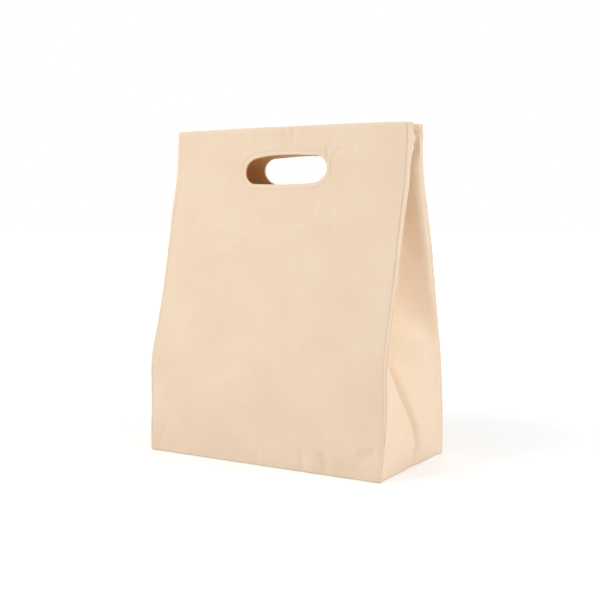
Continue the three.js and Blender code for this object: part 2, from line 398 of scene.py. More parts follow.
# How the cloth stands off its plain bent shape: waves that are weaker beside the seams, a belly and
# a hollow, puckers and a rolled turn at the foot, a flare at the brim, and top corners that curl in.
# It stands in by FOOT_SLACK at most, and by SLACK_RISE of its height more.
WALL_WAVES = mm(170, 95, 52, 27)
WALL_WAVE_HEIGHTS = mm(1.9, 1.2, 0.6, 0.24)
SEAM_BORDER = 40 * MM
SEAM_WAVE_SHARE = 0.3
BELLY = 2.2 * MM
BELLY_LEVEL = 84 * MM
BELLY_SPREAD = 48 * MM
HOLLOW = 1.4 * MM
HOLLOW_LEVEL = 205 * MM
HOLLOW_SPREAD = 52 * MM
PUCKER_WAVES = mm(19, 11)
PUCKER_HEIGHTS = mm(0.5, 0.3)
PUCKER_FADE = 9 * MM
FOOT_BORDER = 18 * MM
FOOT_SLACK = 0.15 * MM
SLACK_RISE = 0.12
FOOT_ROLL = 1.6 * MM
FOOT_TURN = 8 * MM
FOOT_FADE = 90 * MM
BRIM_CROWN = 0.8 * MM
CROWN_POWER = 8
BRIM_FLARE = 1.0 * MM
FLARE_LEVEL = 285 * MM
CURL_X = 108 * MM
CURL_LEVEL = 200 * MM
CURL_RISE = 110 * MM

# The wall's line from the side is read from the straight seam ridge of the solid model, every half
# millimetre up, and its bends are rounded.
LINE_POINTS = 685
ROUNDING_POINTS = 27
ridge_line = {}
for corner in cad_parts["front_right_seam_ridge"].data.vertices:
    level = round(corner.co.z, 5)
    ridge_line[level] = max(ridge_line.get(level, 0), -corner.co.y)
line_z = np.linspace(0, BRIM, LINE_POINTS)
line_depth = np.interp(line_z, sorted(ridge_line), [ridge_line[level] for level in sorted(ridge_line)])
line_depth = np.pad(line_depth, ROUNDING_POINTS // 2, mode="reflect", reflect_type="odd")
rounding = np.hanning(ROUNDING_POINTS) / np.hanning(ROUNDING_POINTS).sum()
line_depth = np.convolve(line_depth, rounding, "valid")
line_slope = np.gradient(line_depth, line_z)
line_length = np.concatenate([[0], np.cumsum(np.hypot(np.diff(line_z), np.diff(line_depth)))])

# Creases pressed or pulled into a wall, in mm: start and end across and up it, width, and depth.
FRONT_CREASES = [
    ((-14, 344), (-13, 330), 2.4, -0.9),
    ((-4.5, 344), (-3, 330), 2.4, -1.0),
    ((5.5, 344), (6.5, 329), 2.4, -1.1),
    ((46.5, 323), (48.5, 307), 1.7, -1.0),
    ((51, 308), (65, 319), 2.6, -1.0),
    ((53, 302), (61, 310), 2.4, -0.7),
    ((81, 328), (77, 306), 3.2, -0.6),
    ((38, 280), (31, 200), 7, -0.8),
    ((47, 281), (48, 240), 5, 0.6),
    ((54, 281), (63, 222), 6.5, -0.8),
    ((65, 280), (85, 200), 8, -0.7),
    ((80, 140), (85, 190), 9, 0.9),
    ((-0.5, 17), (-3, -2), 2.8, -1.2),
    ((49, 20), (53, -2), 3.0, -1.5),
    ((74, 22), (81, -2), 3.2, -2.6),
    ((130, 27), (112, 22), 6, -1.9),
    ((94, 12), (120, 5), 6, -1.2),
    ((88, 44), (120, 16), 6, 0.8),
    ((60, 16), (66, 2), 4, 0.7),
    ((-118, 30), (-128, 6), 5, -0.9),
]
BACK_CREASES = [
    ((-30, 344), (-29, 331), 2.4, -0.55),
    ((12, 344), (14, 330), 2.4, -0.6),
    ((-47, 322), (-49, 307), 1.9, -0.55),
    ((-53, 308), (-68, 320), 2.6, -0.55),
    ((-36, 278), (-28, 214), 5.5, -0.8),
    ((-52, 279), (-66, 221), 6, -0.8),
    ((50, 280), (58, 240), 5, -0.6),
    ((-62, 22), (-68, -2), 3, -0.8),
    ((22, 18), (20, -2), 2.8, -0.6),
    ((96, 20), (103, -2), 3, -0.7),
    ((-108, 60), (-124, 20), 7, -0.7),
]

# What is each wall's own, in mm. The back wall is made as a front wall and turned about, so its
# sides change places. drift bows a seam outwards: its side, height, spread and amount. tugs draw the
# cloth round the slot: their place from its middle, reach and pull. curl is by side.
WALLS = {
    "front": {
        "turn": 1, "seed": 11, "creases": FRONT_CREASES, "sides": {1: "right", -1: "left"},
        "drift": [(-1, 104, 26, 2.6), (1, 58, 46, 4.8), (1, 190, 45, 1.5), (-1, 250, 40, 0.8)],
        "tugs": [
            ((4, 15), (34, 14), (0, 2.2)),
            ((-39, 12), (11, 10), (0, -1.7)),
            ((42, -11), (11, 10), (0, 1.7)),
            ((0, -15), (30, 12), (0, -0.5)),
        ],
        "curl": {1: 2.0, -1: 0},
    },
    "back": {
        "turn": -1, "seed": 23, "creases": BACK_CREASES, "sides": {1: "left", -1: "right"},
        "drift": [(1, 120, 30, 1.6), (-1, 215, 45, 1.0)],
        "tugs": [((-4, 15), (34, 14), (0, 2.2)), ((49, 0), (16, 16), (2.2, 0))],
        "curl": {1: 1.2, -1: 4.5},
    },
}


def hump(value, middle, spread):
    """A smooth hump: 1 at its middle, dying away to both sides."""
    return np.exp(-(((value - middle) / spread) ** 2))


def crease(x, z, start, end, width, depth):
    """A straight crease, full over its middle two thirds, that dies away to both sides and at its ends."""
    start, end = np.multiply(start, MM), np.multiply(end, MM)
    length = np.hypot(*(end - start))
    run = (end - start) / length
    along = (x - start[0]) * run[0] + (z - start[1]) * run[1]
    beside = (x - start[0]) * run[1] - (z - start[1]) * run[0]
    past = np.maximum(0, np.abs(along - length / 2) - length / 3)
    return depth * MM * hump(beside, 0, width * MM) * hump(past, 0, length / 5)


def slot_distance(x, z):
    """How far a point lies outside the edge of the hand slot, measured over the wall."""
    return np.hypot(np.maximum(np.abs(x) - SLOT_STRAIGHT, 0), z - SLOT_Z) - SLOT_HEIGHT / 2


def slot_lip(gap):
    """How far the turned edge of the slot stands proud, at a distance from the edge."""
    return sum(height * hump(gap, place, spread) for place, spread, height in LIP_SWELLS)


def wall_slack(wall, x, z):
    """How far the cloth of a wall stands off its plain bent shape."""
    waves = slack_waves(wall["seed"], x, z, WALL_WAVES, WALL_WAVE_HEIGHTS)
    off_seam = ease((SEAM_X - np.abs(x)) / SEAM_BORDER)
    middle = np.cos(math.pi / 2 * x / SEAM_X)
    belly = BELLY * middle * hump(z, BELLY_LEVEL, BELLY_SPREAD)
    hollow = -HOLLOW * middle * hump(z, HOLLOW_LEVEL, HOLLOW_SPREAD)
    loose = waves * (SEAM_WAVE_SHARE + (1 - SEAM_WAVE_SHARE) * off_seam) + belly + hollow
    puckers = slack_waves(wall["seed"] + 1, x, 0 * z, PUCKER_WAVES, PUCKER_HEIGHTS)
    puckers = puckers * np.exp(-z / PUCKER_FADE) * off_seam
    creases = sum(crease(x, z, *line) for line in wall["creases"])
    roll = FOOT_ROLL * (1 - np.exp(-z / FOOT_TURN)) * np.exp(-z / FOOT_FADE)
    flare = BRIM_FLARE * ease((z - FLARE_LEVEL) / (BRIM - FLARE_LEVEL)) * (1 + np.clip(x / SEAM_X, 0, 1))
    curl = 0 * z
    for sign, amount in wall["curl"].items():
        curl = curl + amount * MM * ease((sign * x - CURL_X) / (SEAM_X - CURL_X))
    curl = curl * ease((z - CURL_LEVEL) / CURL_RISE)
    slack = loose * ease(z / FOOT_BORDER) + puckers + creases + roll + flare - curl
    deepest = FOOT_SLACK + SLACK_RISE * z
    return np.maximum(slack, -deepest)


def on_wall(wall, x, z, proud):
    """Points of a wall: x across it, z up it, and proud of its outer face."""
    tug_x, tug_z = 0 * x, 0 * z
    for (across, up), (wide, tall), (pull_x, pull_z) in wall["tugs"]:
        share = hump(x / MM, across, wide) * hump((z - SLOT_Z) / MM, up, tall)
        tug_x, tug_z = tug_x + pull_x * MM * share, tug_z + pull_z * MM * share
    x, z = x + tug_x, z + tug_z
    drift = 0 * z
    for sign, level, spread, amount in wall["drift"]:
        toward = np.maximum(sign * x / SEAM_X, 0) ** 2
        drift = drift + sign * amount * MM * toward * hump(z, level * MM, spread * MM)
    depth = np.interp(z, line_z, line_depth)
    slope = np.interp(z, line_z, line_slope)
    steep = np.sqrt(1 + slope**2)
    out = proud + wall_slack(wall, x, z)
    crown = BRIM_CROWN * np.cos(math.pi / 2 * x / SEAM_X) * (z / BRIM) ** CROWN_POWER
    points = np.stack([x + drift, -(depth + out / steep), z - out * slope / steep + crown], -1)
    return points * (wall["turn"], wall["turn"], 1)


def band(ring, next_ring):
    """The quads between two closed rings of points."""
    return np.stack([ring, np.roll(ring, -1), np.roll(next_ring, -1), next_ring], 1)


def slotted_layer(half_width, low, high):
    """The flat grid of a layer of a wall, as points across and up, with rings of quads round the slot."""
    half_core = half_width - WALL_BORDER
    core = np.linspace(-half_core, half_core, round(2 * half_core / WALL_STEP) + 1)
    across = np.concatenate([-half_width + BORDER_STEPS, core, half_width - BORDER_STEPS[::-1]])
    rise = np.linspace(low + WALL_BORDER, high - WALL_BORDER, round((high - low) / WALL_STEP))
    upward = np.concatenate([low + BORDER_STEPS, rise, high - BORDER_STEPS[::-1]])
    left, right = (int(np.abs(across - x).argmin()) for x in (-COLLAR_WIDTH, COLLAR_WIDTH))
    collar_ends = (SLOT_Z - COLLAR_HEIGHT, SLOT_Z + COLLAR_HEIGHT)
    under, over = (int(np.abs(upward - z).argmin()) for z in collar_ends)
    columns = len(across)
    points = np.stack(np.meshgrid(across, upward), -1).reshape(-1, 2)
    quads = grid_quads(len(upward), columns)
    row, column = quads[:, 0] // columns, quads[:, 0] % columns
    covered = (row >= under) & (row < over) & (column >= left) & (column < right)

    border = [under * columns + c for c in range(left, right)]
    border += [r * columns + right for r in range(under, over)]
    border += [over * columns + c for c in range(right, left, -1)]
    border += [r * columns + left for r in range(over, under, -1)]
    outer = points[border]
    spine = np.stack([np.clip(outer[:, 0], -SLOT_STRAIGHT, SLOT_STRAIGHT), np.full(len(outer), SLOT_Z)], -1)
    ray = outer - spine
    reach = np.linalg.norm(ray, axis=1, keepdims=True)
    ray /= reach
    edge = SLOT_HEIGHT / 2
    lip = edge + LIP_RINGS[-1]
    rings = [
        spine + ray * (lip + (reach - lip) * share) for share in np.linspace(0, 1, COLLAR_RINGS + 1)[-2:0:-1]
    ]
    rings += [spine + ray * (edge + gap) for gap in LIP_RINGS[::-1]]

    quads = [quads[~covered]]
    before = np.array(border)
    for k, ring in enumerate(rings):
        after = len(points) + k * len(ring) + np.arange(len(ring))
        quads.append(band(before, after))
        before = after
    points = np.concatenate([points, *rings])
    used, quads = np.unique(np.concatenate(quads), return_inverse=True)
    return points[used], quads.reshape(-1, 4)


for side, wall in WALLS.items():
    flat, quads = slotted_layer(SEAM_X, FOOT, BRIM)
    x, z = flat.T
    gap = slot_distance(x, z)
    worn = SLOT_RUB * hump(gap, 0, RUB_REACH) + BRIM_RUB * hump(BRIM - z, 0, RUB_REACH)
    panel = cloth_piece(
        f"{side}_panel_cloth",
        on_wall(wall, x, z, slot_lip(gap)),
        quads,
        np.stack([x, np.interp(z, line_z, line_length)], -1),
        canvas,
        square=np.abs(x) == SEAM_X,
        rub=np.clip(worn, 0, 1),
    )
    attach(panel, f"{side}_wall")
    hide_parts(f"{side}_panel")

# Handle facings
# A strip of canvas inside the top of each wall, sewn to it round the slot. It doubles the cloth that
# the hand pulls on, hides the turned edge of the slot, and lies just clear of the wall's inner side.
facing_low, facing_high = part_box("front_handle_facing")
FACING_X = facing_high.x
FACING_FRONT = -1.5 * MM
for side, wall in WALLS.items():
    flat, quads = slotted_layer(FACING_X, facing_low.z, facing_high.z)
    x, z = flat.T
    facing = cloth_piece(
        f"{side}_handle_facing_cloth",
        on_wall(wall, x, z, FACING_FRONT),
        quads,
        np.stack([x, np.interp(z, line_z, line_length)], -1),
        # the inner side, in the copy of the canvas with painted shade
        shaded_inner_canvas,
    )
    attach(facing, f"{side}_wall")
    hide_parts(f"{side}_handle_facing")

# Gussets
# Each side of the bag is a strip of canvas that is folded in on its centre crease, so that the
# walls can lean together. It is flat at the foot, and its two leaves bow out beside the crease.
GUSSET_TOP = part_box("right_gusset_front")[1].z
LEAF_STEP = 2.4 * MM
LEAF_COLUMNS = 40
LEAF_EDGE_SHARES = (0, 0.006, 0.014)
LEAF_INNER_SHARE = 0.03
LEAF_CROWDING = 1.35
SEAM_TUCK = 1.5 * MM

# The fold: how deep the crease lies, how round it is, and the gap between the leaves at it.
FOLD_DEPTH = 70 * MM
FOLD_START = 38 * MM
FOLD_EASE = 1.1
GUSSET_BULGE = 3 * MM
CREASE_ROUND = 1.6 * MM
CREASE_GAP = 0.05 * MM
CREASE_FOOT_SHARE = 0.1
CREASE_HOLD = 12

# The crease wanders in and out, by a shift at each height, in mm. The bend that this puts across a
# leaf runs aslant: beside the seam it lies lower than at the crease.
FOLD_WANDER = (
    (0, 0), (14, 1.5), (28, 3.6), (45, 3), (60, 0.8), (76, -2), (97, -4.8), (108, -5.6), (118, -3.5),
    (128, 0), (138, 2.5), (148, 0), (160, -8), (172, -11.5), (187, -10), (207, -2), (225, 3.5), (260, 6),
    (290, 4), (320, 0),
)
FOLD_LEVEL, FOLD_SHIFT = np.array(FOLD_WANDER).T * MM
BEND_SLANT = 30 * MM

# The low part of the crease is pressed in as a narrow valley.
VALLEY_DEPTH = 2.8 * MM
VALLEY_WIDTH = 3.4 * MM
VALLEY_LEVEL = mm(0, 8, 26, 40, 92, 106, 116)
VALLEY_SHARE = (0, 0, 0.8, 1, 1, 0.4, 0)

# How a leaf swells between seam and crease: its bow, a shoulder and a flare beside the seam, slack
# waves where it has room, the hem at its top, and a top edge that drops towards the seam.
BOW_LEVEL = mm(0, 10, 30, 60, 85, 102, 118, 150, 260, 342)
LEAF_BOW = {
    "front": mm(0, 0.8, 3.0, 3.4, 2.0, 0.6, 0, -0.5, 0.5, 1.0),
    "back": mm(0, 1.5, 5.0, 6.5, 5.0, 2.0, 0.8, -1.5, -1.5, 0.5),
}
BOW_RISE = 2
BOW_TURN = {"front": 5, "back": 7}
SHOULDER_LEVEL = mm(0, 140, 190, 270, 300, 322, 338)
SHOULDER = {
    "front": mm(0, 0, 0.6, 1.0, 0.9, 0.7, 0.6),
    "back": mm(0, 0, 3.0, 4.2, 3.4, 0.6, -1.0),
}
SHOULDER_SHARE = 0.11
SEAM_FLARE = {"front": 0.8 * MM, "back": 2.2 * MM}
FLARE_REACH = 7 * MM
LEAF_WAVES = mm(120, 64, 30)
LEAF_WAVE_HEIGHTS = mm(1.6, 0.9, 0.3)
LEAF_WAVE_SPAN = 60 * MM
LEAF_SEED = 40
LEAF_ROOM = 14 * MM
LEAF_BORDER = 30 * MM
SEAM_FREE = 0.25
CREASE_FREE = 0.2
HEM_DEPTH = 11 * MM
HEM_RAISE = 0.7 * MM
HEM_STEP = 0.8 * MM
HEM_SHARE = 0.1
CORNER_DROP = 9 * MM
CORNER_SHARE = 0.1
CORNER_DEPTH = 4 * HEM_DEPTH


def crease_depth(z):
    """How far the centre crease lies inside the seams: a slight swell at the foot, then the fold."""
    swell = -GUSSET_BULGE * np.sin(math.pi * z / FOLD_START)
    rise = np.clip((z - FOLD_START) / (GUSSET_TOP - FOLD_START), 0, 1)
    return np.where(z < FOLD_START, swell, FOLD_DEPTH * np.sin(math.pi / 2 * rise) ** FOLD_EASE)


def seam_point(wall, sign, z, behind):
    """The seam of a wall at its side, a given depth behind the outer face."""
    return on_wall(wall, np.full_like(z, sign * SEAM_X), z, -behind)


def leaf_shape(end, z, share, seam, seed):
    """A leaf as it lies on the right front corner of the bag: its points, and its flat coordinates."""
    crease_x = SEAM_X - crease_depth(z)
    lean = (seam[:, 0] - crease_x) / np.hypot(seam[:, 0] - crease_x, seam[:, 1])
    seam_x = seam[:, 0]
    seam_y = seam[:, 1] + CANVAS * np.abs(lean)
    height = z[:, None] + 0 * share

    gap = CREASE_GAP * (CREASE_FOOT_SHARE + (1 - CREASE_FOOT_SHARE) * z / GUSSET_TOP)[:, None]
    y = -gap + (seam_y[:, None] + gap) * (1 - share)
    curve = np.sqrt(y**2 + CREASE_ROUND**2) - CREASE_ROUND
    curve /= (np.sqrt(seam_y**2 + CREASE_ROUND**2) - CREASE_ROUND)[:, None]
    x = crease_x[:, None] + (seam_x - crease_x)[:, None] * curve
    x = x + share * np.interp(height + BEND_SLANT * (1 - share), FOLD_LEVEL, FOLD_SHIFT)
    valley = VALLEY_DEPTH * np.interp(z, VALLEY_LEVEL, VALLEY_SHARE)[:, None]
    x = x - valley * hump(y, 0, VALLEY_WIDTH)
    from_seam = np.hypot(x - seam_x[:, None], y - seam_y[:, None])
    x = x + SEAM_FLARE[end] * hump(from_seam, 0, FLARE_REACH)

    bow = np.interp(height, BOW_LEVEL, LEAF_BOW[end])
    bow = bow * (1 - np.abs(2 * share - 1) ** np.where(share > 0.5, BOW_TURN[end], BOW_RISE))
    shoulder = np.interp(z, SHOULDER_LEVEL, SHOULDER[end])[:, None]
    shoulder = shoulder * share / SHOULDER_SHARE * np.exp(1 - share / SHOULDER_SHARE)
    free = ease(share / SEAM_FREE) * ease((1 - share) / CREASE_FREE) * np.clip(-y / LEAF_ROOM, 0, 1)
    waves = slack_waves(seed, height, LEAF_WAVE_SPAN * share, LEAF_WAVES, LEAF_WAVE_HEIGHTS)
    hem = HEM_RAISE * ease((height - (GUSSET_TOP - HEM_DEPTH)) / HEM_STEP) * ease(share / HEM_SHARE)
    out = bow + shoulder + waves * free * ease(height / LEAF_BORDER) + hem
    chord = unit(np.stack([crease_x - seam_x, -seam_y], -1))
    x = x + out * chord[:, None, 1]
    y = y - out * chord[:, None, 0] * (1 - share ** CREASE_HOLD)
    drop = CORNER_DROP * np.exp(-share / CORNER_SHARE)
    drop = drop * ease((height - GUSSET_TOP + CORNER_DEPTH) / CORNER_DEPTH)

    gone = np.cumsum(np.hypot(np.diff(x, axis=1), np.diff(y, axis=1)), axis=1)
    gone = np.concatenate([np.zeros((len(z), 1)), gone], 1)
    return np.stack([x, y, height - drop], -1), np.stack([gone, height], -1)


leaf_rise = np.linspace(FOOT, GUSSET_TOP, round((GUSSET_TOP - FOOT) / LEAF_STEP))
leaf_share = np.concatenate([LEAF_EDGE_SHARES, np.linspace(LEAF_INNER_SHARE, 1, LEAF_COLUMNS)])
leaf_share = 1 - (1 - leaf_share) ** LEAF_CROWDING
for side, sign_x in (("right", 1), ("left", -1)):
    for end, wall in WALLS.items():
        sign_y = -wall["turn"]
        seam = np.abs(seam_point(wall, sign_x * wall["turn"], leaf_rise, SEAM_TUCK)) * (1, -1, 1)
        points, flat = leaf_shape(end, leaf_rise, leaf_share[None, :], seam, LEAF_SEED + sign_x + 3 * sign_y)
        quads = grid_quads(len(leaf_rise), len(leaf_share))
        if sign_x * sign_y > 0:
            quads = quads[:, ::-1]
        leaf = cloth_piece(
            f"{side}_gusset_{end}_cloth",
            points.reshape(-1, 3) * (sign_x, -sign_y, 1),
            quads,
            flat.reshape(-1, 2),
            canvas,
            square=np.tile(leaf_share == 1, len(leaf_rise)),
        )
        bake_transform(leaf)
        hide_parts(f"{side}_gusset_{end}")

# Seam ridges
# Along each upright corner the panel and the gusset are turned in, laid together and stitched close
# to the edge, so the seam stands out as a ridge of two folded layers of canvas.
RIDGE_STEP = 1.6 * MM
RIDGE_SEEDS = 7

# A cut across a ridge: places from the wall outwards, and how far its two faces stand off its middle.
# The slit between the layers runs in from the edge, by the places of RIDGE_FOLD, to RIDGE_DEEP.
RIDGE_ACROSS = mm(-0.8, 0, 0.4, 0.8, 1.1, 1.4, 1.7, 2.1, 2.9, 3.7, 4.3, 4.65, 4.85, 4.9)
RIDGE_FACE = mm(0.85, 1.17, 1.2, 1.05, 0.75, 0.62, 0.8, 1.12, 1.38, 1.42, 1.3, 1.0, 0.6, 0.25)
RIDGE_BACK = mm(0.9, 1.17, 1.2, 1.18, 1.12, 1.1, 1.15, 1.25, 1.36, 1.38, 1.25, 1.0, 0.6, 0.25)
RIDGE_FOLD = [11, 10, 9, 8, 7]
RIDGE_DEEP = 6
RIDGE_SLIT = 0.1 * MM
RIDGE_STITCH = 1.4 * MM
RIDGE_LOBE = 1.7 * MM
PLAIN_LIMIT = 1.3 * MM
STITCH_SINK = 0.28 * MM

# How it changes up the seam: at each RIDGE_LEVEL the width of its lobe, as a share, and its lean out
# from the face of its wall, in degrees. The stitches pinch it by RIDGE_PULL, its layers part by
# OPEN_SHARE, and knots stand where the hem of the gusset is caught in it. The parting is in mm, and
# so are the height, spread and size of a knot.
RIDGE_LEVEL = mm(0, 60, 130, 200, 270, 342)
RIDGE_PULL = (0, 0, 0.2, 0.7, 1, 1)
OPEN_LEVEL = mm(302, 314, 327, 333)
OPEN_SHARE = (0, 0.3, 0.4, 1)
RIDGES = {
    ("front", "right"): {
        "width": (0.35, 0.55, 0.9, 1.0, 1.15, 1.35), "lean": (34, 32, 28, 18, 8, 0),
        "pinch": 1.0, "parting": 0.7, "knots": ((326, 4.5, 2.4), (317, 3.8, 1.6)),
    },
    ("front", "left"): {
        "width": (0.35, 0.55, 0.6, 0.85, 1.25, 1.45), "lean": (8, 0, -6, -8, -8, -8),
        "pinch": 0.25, "parting": 0.8, "knots": ((328, 6, 0.5),),
    },
    ("back", "right"): {
        "width": (0.35, 0.55, 0.6, 0.8, 0.95, 0.9), "lean": (80, 82, 82, 80, 76, 64),
        "pinch": 0.6, "parting": 0.8, "knots": ((330, 5, 0.5),),
    },
    ("back", "left"): {
        "width": (0.35, 0.55, 0.6, 0.85, 1.25, 1.45), "lean": (30, 34, 36, 28, 16, 6),
        "pinch": 0.8, "parting": 1.6, "knots": ((327, 5, 1.2), (318, 4, 0.6)),
    },
}
KNOT_RUN = 1.5 * MM
KNOT_SHARE = 0.6
TURN_START = 0.3 * MM
TURN_RUN = 1.8 * MM
OPEN_RUN = 3.2 * MM
PLUMP_START = 2 * MM
RIDGE_RUB = 0.3
RIDGE_RUB_RUN = 2 * MM

# Uneven sewing: lengths of the waves in lean, width and plumpness, and how strong they are.
LEAN_WAVES, LEAN_STRENGTHS = mm(70, 31), (0.10, 0.07)
WIDTH_WAVES, WIDTH_STRENGTHS = mm(55, 23), (0.05, 0.04)
PLUMP_WAVES, PLUMP_STRENGTHS = mm(40, 17), (0.08, 0.06)


def tube_faces(rings):
    """The faces of a closed tube through rings of points: bands between them, and a cap on each end."""
    bands = [band(ring, next_ring) for ring, next_ring in zip(rings, rings[1:])]
    return [*np.concatenate(bands).tolist(), rings[0, ::-1].tolist(), rings[-1].tolist()]


ridge_rise = np.linspace(FOOT, BRIM, round((BRIM - FOOT) / RIDGE_STEP))
ridge_frames = {}
for end, wall in WALLS.items():
    for sign, side in wall["sides"].items():
        z = ridge_rise
        flip = (wall["turn"], wall["turn"], 1)
        own = RIDGES[end, side]
        seed = wall["seed"] * RIDGE_SEEDS + sign
        root = seam_point(wall, sign, z, CANVAS) * flip
        along = unit(np.gradient(root, axis=0))
        tilt = np.radians(np.interp(z, RIDGE_LEVEL, own["lean"]))
        tilt += slack_waves(seed, z, 0 * z, LEAN_WAVES, LEAN_STRENGTHS)
        width = 1 + slack_waves(seed + 1, z, 0 * z, WIDTH_WAVES, WIDTH_STRENGTHS)
        width *= np.interp(z, RIDGE_LEVEL, own["width"])
        plump = 1 + slack_waves(seed + 2, z, 0 * z, PLUMP_WAVES, PLUMP_STRENGTHS)
        knots = sum(size * MM * hump(z, level * MM, spread * MM) for level, spread, size in own["knots"])
        pinch = own["pinch"] * np.interp(z, RIDGE_LEVEL, RIDGE_PULL)
        opened = own["parting"] * MM * np.interp(z, OPEN_LEVEL, OPEN_SHARE)

        # The middle of the ridge, step by step out from the wall, and the way that its face looks.
        lobe = np.maximum(RIDGE_ACROSS - RIDGE_LOBE, 0)[:, None]
        reach = np.minimum(RIDGE_ACROSS, RIDGE_LOBE)[:, None] + lobe * (width + knots / lobe[-1])
        bend = tilt[None, :] * ease((RIDGE_ACROSS[:, None] - TURN_START) / TURN_RUN)
        step_x = np.diff(reach, axis=0) * np.cos((bend[1:] + bend[:-1]) / 2)
        step_y = -np.diff(reach, axis=0) * np.sin((bend[1:] + bend[:-1]) / 2)
        run_x = np.concatenate([reach[:1], reach[:1] + np.cumsum(step_x, axis=0)])
        run_y = np.concatenate([0 * reach[:1], np.cumsum(step_y, axis=0)])
        centre = np.stack([sign * run_x + root[:, 0], run_y + root[:, 1], 0 * run_x + root[:, 2]], -1)
        flange = np.stack([sign * np.cos(bend), -np.sin(bend), 0 * bend], -1)
        face = unit(sign * np.cross(flange, along[None]))

        # Its two faces and the slit between its layers, as one closed outline at each height.
        swell = (RIDGE_FACE * np.where(RIDGE_ACROSS > PLUMP_START, 1, 0))[:, None, None]
        swell = swell * (plump - 1)[None, :, None]
        plain = np.minimum(np.maximum(RIDGE_FACE, RIDGE_BACK), PLAIN_LIMIT)
        pinched = plain[:, None] + pinch * (RIDGE_FACE - plain)[:, None]
        front_face = centre + face * (pinched[:, :, None] + swell)
        padding = knots[None, :, None] * ease(lobe / KNOT_RUN)[:, :, None]
        parted = (ease((RIDGE_ACROSS - RIDGE_LOBE) / OPEN_RUN)[:, None] * opened)[:, :, None]
        back_face = centre - face * (RIDGE_BACK[:, None, None] + swell + KNOT_SHARE * padding + parted)
        front_lining = (centre + face * RIDGE_SLIT)[RIDGE_FOLD]
        back_lining = (centre - face * (RIDGE_SLIT + parted))[RIDGE_FOLD[::-1]]
        outline = np.concatenate(
            [front_face, front_lining, centre[[RIDGE_DEEP]], back_lining, back_face[::-1]]
        )
        points = outline.transpose(1, 0, 2)
        rows, around = points.shape[:2]
        faces = tube_faces(np.arange(rows * around).reshape(rows, around))
        if sign < 0:
            faces = [corners[::-1] for corners in faces]

        middle = points[rows // 2]
        girth = np.cumsum(np.linalg.norm(np.diff(middle, axis=0, prepend=middle[:1]), axis=1))
        climb = np.interp(z, line_z, line_length)
        uv = np.stack(np.broadcast_arrays(girth[None, :], climb[:, None]), -1)
        rub = np.zeros(around)
        rub[:len(RIDGE_ACROSS)] = RIDGE_RUB * ease((RIDGE_ACROSS - PLUMP_START) / RIDGE_RUB_RUN)
        rub = rub[None, :] * np.interp(z, RIDGE_LEVEL, RIDGE_PULL)[:, None]
        ridge = mesh_piece(
            f"{end}_{side}_seam_ridge_cloth",
            points.reshape(-1, 3) * flip,
            faces,
            uv.reshape(-1, 2),
            canvas,
            rub.ravel(),
        )
        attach(ridge, f"{end}_wall")
        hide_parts(f"{end}_{side}_seam_ridge")
        groove = int(np.abs(RIDGE_ACROSS - RIDGE_STITCH).argmin())
        sunk = STITCH_SINK * (1 - pinch)[:, None] * face[groove]
        face_line, back_line = (front_face[groove] - sunk) * flip, (back_face[groove] + sunk) * flip
        ridge_frames[end, side] = (face_line, back_line, face[groove] * flip, ridge)

# Stitching
# Lockstitch in twisted cotton thread, about eight stitches to 25 mm: a row in the groove of each
# seam ridge, and a ring round each hand slot that holds the turned edge down on its facing.
STITCH_PITCH = 3.2 * MM
STITCH_LENGTH = 2.7 * MM
STITCH_RINGS = 7
STITCH_ARCH = 1.1
STITCH_DIP = 0.55
STITCH_TAPER = 0.35
STITCH_SETBACK = 3.3 * MM
RING_SINK = 0.16 * MM
RING_POINTS = 90
THREAD_RADIUS = 0.34 * MM
THREAD_SIDES = 8
THREAD_LAY = 0.9 * MM
THREAD_RELIEF = 0.1 * MM


def twisted_thread(name, light, groove_shade):
    """Two-ply cotton sewing thread: matt, with painted shade in dark lines winding round it between the
    plies.
    """
    material = bpy.data.materials.new(name)
    tree = bare_tree(material)
    ply = add_node(tree, "ShaderNodeUVMap", {}, uv_map=CLOTH_UV).outputs[0]
    way = add_node(tree, "ShaderNodeSeparateXYZ", {0: ply})
    wound = add_node(tree, "ShaderNodeMath", {0: way.outputs[0], 1: way.outputs[1]}, operation="ADD")
    turns = add_node(
        tree, "ShaderNodeMath", {0: wound.outputs[0], 1: 2 * math.pi / THREAD_LAY}, operation="MULTIPLY"
    )
    lay = add_node(tree, "ShaderNodeMath", {0: turns.outputs[0]}, operation="SINE")
    # The darker tone sits where the bump is lowest: painted shade in the grooves between the plies.
    tone = add_node(
        tree, "ShaderNodeMapRange", {"Value": lay.outputs[0], "From Min": -1.0, "From Max": 0.2}
    )
    mix = add_node(
        tree, "ShaderNodeMixRGB",
        {"Fac": tone.outputs[0], "Color1": to_linear(groove_shade), "Color2": to_linear(light)},
    )
    relief = add_node(
        tree, "ShaderNodeBump", {"Strength": 0.6, "Distance": THREAD_RELIEF, "Height": lay.outputs[0]}
    )
    surface = add_node(
        tree, "ShaderNodeBsdfPrincipled",
        {
            "Base Color": mix.outputs[0], "Normal": relief.outputs[0],
            "Roughness": 0.7, "Specular IOR Level": 0.35, "Sheen Weight": 0.2,
        },
    )
    add_node(tree, "ShaderNodeOutputMaterial", {"Surface": surface.outputs[0]})
    return material


# Its second colour is the painted shade between the plies.
cotton_thread = twisted_thread("cotton_sewing_thread_twisted", "#F0D9BF", "#E6CDAE")


def between(places, known, values):
    """Points read off between known ones, each coordinate by itself."""
    return np.stack([np.interp(places, known, values[:, k]) for k in range(3)], -1)


def along_line(line, pitch):
    """Evenly spaced places on a line of points: the place, the way along, and the row position."""
    gone = np.concatenate([[0], np.cumsum(np.linalg.norm(np.diff(line, axis=0), axis=1))])
    count = int(gone[-1] // pitch)
    middle = (np.arange(count) + 0.5) * gone[-1] / count
    way = between(middle + pitch / 4, gone, line) - between(middle - pitch / 4, gone, line)
    return between(middle, gone, line), unit(way), middle / gone[-1]


